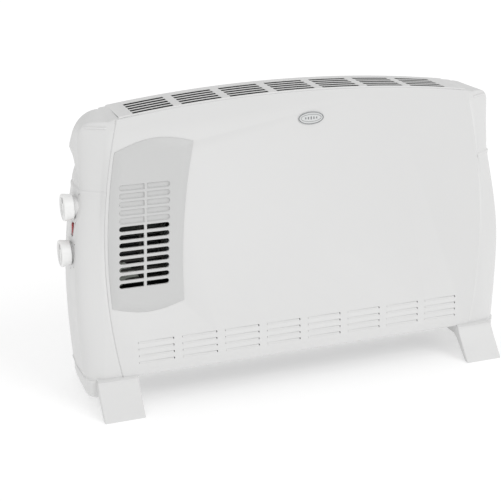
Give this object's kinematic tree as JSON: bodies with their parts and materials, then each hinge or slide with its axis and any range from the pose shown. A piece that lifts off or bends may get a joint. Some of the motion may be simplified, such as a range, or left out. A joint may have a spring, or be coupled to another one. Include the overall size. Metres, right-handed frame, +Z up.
{
  "type": "fan convector heater",
  "caption": "Free-standing convector heater with a blower: leaning steel panel, arched top grille, moulded ends with controls, and two splayed feet.",
  "frame": {"origin": "on the floor, at the centre of the bounding box over the end caps, knobs and feet", "axes": "+X to the right end seen from the front, +Y from the leaning front panel to the back, +Z up"},
  "size_m": [0.6524, 0.1774, 0.4158],
  "materials": {
    "white_painted_steel": "satin powder coat",
    "white_plastic": "fine moulded satin",
    "pale_grey_plastic": "fine moulded satin",
    "galvanised_steel": "galvanised",
    "aluminium_fin": "mill finish",
    "zinc_screw": "zinc plated",
    "satin_badge": "satin silver print",
    "red_lens": "clear moulded",
    "brown_phenolic": "moulded",
    "grey_blower_plastic": "moulded",
    "mica_board": "layered mica",
    "natural_nylon": "moulded",
    "black_rubber": "matt"
  },
  "bodies": {
    "case": {"badge": "satin_badge", "base_plate": "galvanised_steel", "control_bracket": "galvanised_steel", "cord_gland": "black_rubber", "fan_bezel": "pale_grey_plastic", "fan_heater_grid": "mica_board", "fan_housing": "grey_blower_plastic", "fan_motor": "galvanised_steel", "foot_screw_1": "zinc_screw", "foot_screw_2": "zinc_screw", "foot_screw_3": "zinc_screw", "foot_screw_4": "zinc_screw", "front_panel": "white_painted_steel", "heat_shield": "aluminium_fin", "indicator_lens": "red_lens", "left_element_bracket": "galvanised_steel", "left_end_cap": "white_plastic", "left_foot": "white_plastic", "left_handle_cap": "white_plastic", "lower_heating_element": "aluminium_fin", "motor_bracket": "galvanised_steel", "partition_plate": "galvanised_steel", "rear_panel": "white_painted_steel", "rear_screw_1": "zinc_screw", "rear_screw_2": "zinc_screw", "rear_screw_3": "zinc_screw", "rear_screw_4": "zinc_screw", "rear_screw_5": "zinc_screw", "rear_screw_6": "zinc_screw", "right_element_bracket": "galvanised_steel", "right_end_cap": "white_plastic", "right_foot": "white_plastic", "right_handle_cap": "white_plastic", "selector_switch": "brown_phenolic", "terminal_block": "natural_nylon", "thermal_cutout": "galvanised_steel", "thermostat_body": "brown_phenolic", "top_grille": "white_plastic", "upper_heating_element": "aluminium_fin", "wiring_loom": "natural_nylon"},
    "thermostat": {"thermostat_knob": "white_plastic", "thermostat_shaft": "galvanised_steel"},
    "selector": {"selector_knob": "white_plastic", "selector_shaft": "galvanised_steel"},
    "blower_rotor": {"fan_impeller": "aluminium_fin", "fan_shaft": "galvanised_steel"}
  },
  "joints": [
    {"name": "thermostat_turn", "type": "hinge", "parent": "case", "child": "thermostat", "pos_m": [-0.31945, 0.00375, 0.278], "axis": [1, 0, 0], "range_deg": [0, 270]},
    {"name": "selector_turn", "type": "hinge", "parent": "case", "child": "selector", "pos_m": [-0.32625, 0.00375, 0.2145], "axis": [1, 0, 0], "range_deg": [0, 180]},
    {"name": "fan_spin", "type": "hinge", "parent": "case", "child": "blower_rotor", "pos_m": [-0.24925, 0.01375, 0.206], "axis": [1, 0, 0], "continuous": true}
  ]
}
